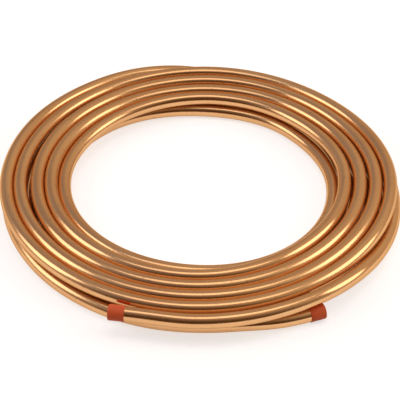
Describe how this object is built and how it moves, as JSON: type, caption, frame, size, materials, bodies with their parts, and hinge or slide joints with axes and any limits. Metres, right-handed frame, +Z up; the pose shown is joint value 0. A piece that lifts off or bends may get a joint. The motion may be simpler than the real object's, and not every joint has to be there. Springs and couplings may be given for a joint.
{
  "type": "copper tube coil",
  "caption": "Soft copper tube wound flat in layers around an open eye, with a push-on plastic cap over each free end.",
  "frame": {"origin": "on the floor, on the axis that the front half turns of the coil are centred on", "axes": "+Z up along the coil's axis, -Y towards the side with the two capped ends, +X to the right of that side"},
  "size_m": [0.3792, 0.3904, 0.0277],
  "materials": {
    "copper": "bright annealed copper",
    "red_plastic": "matte"
  },
  "bodies": {
    "root": {"copper_tube": "copper", "upper_end_cap": "red_plastic", "lower_end_cap": "red_plastic"}
  },
  "joints": []
}
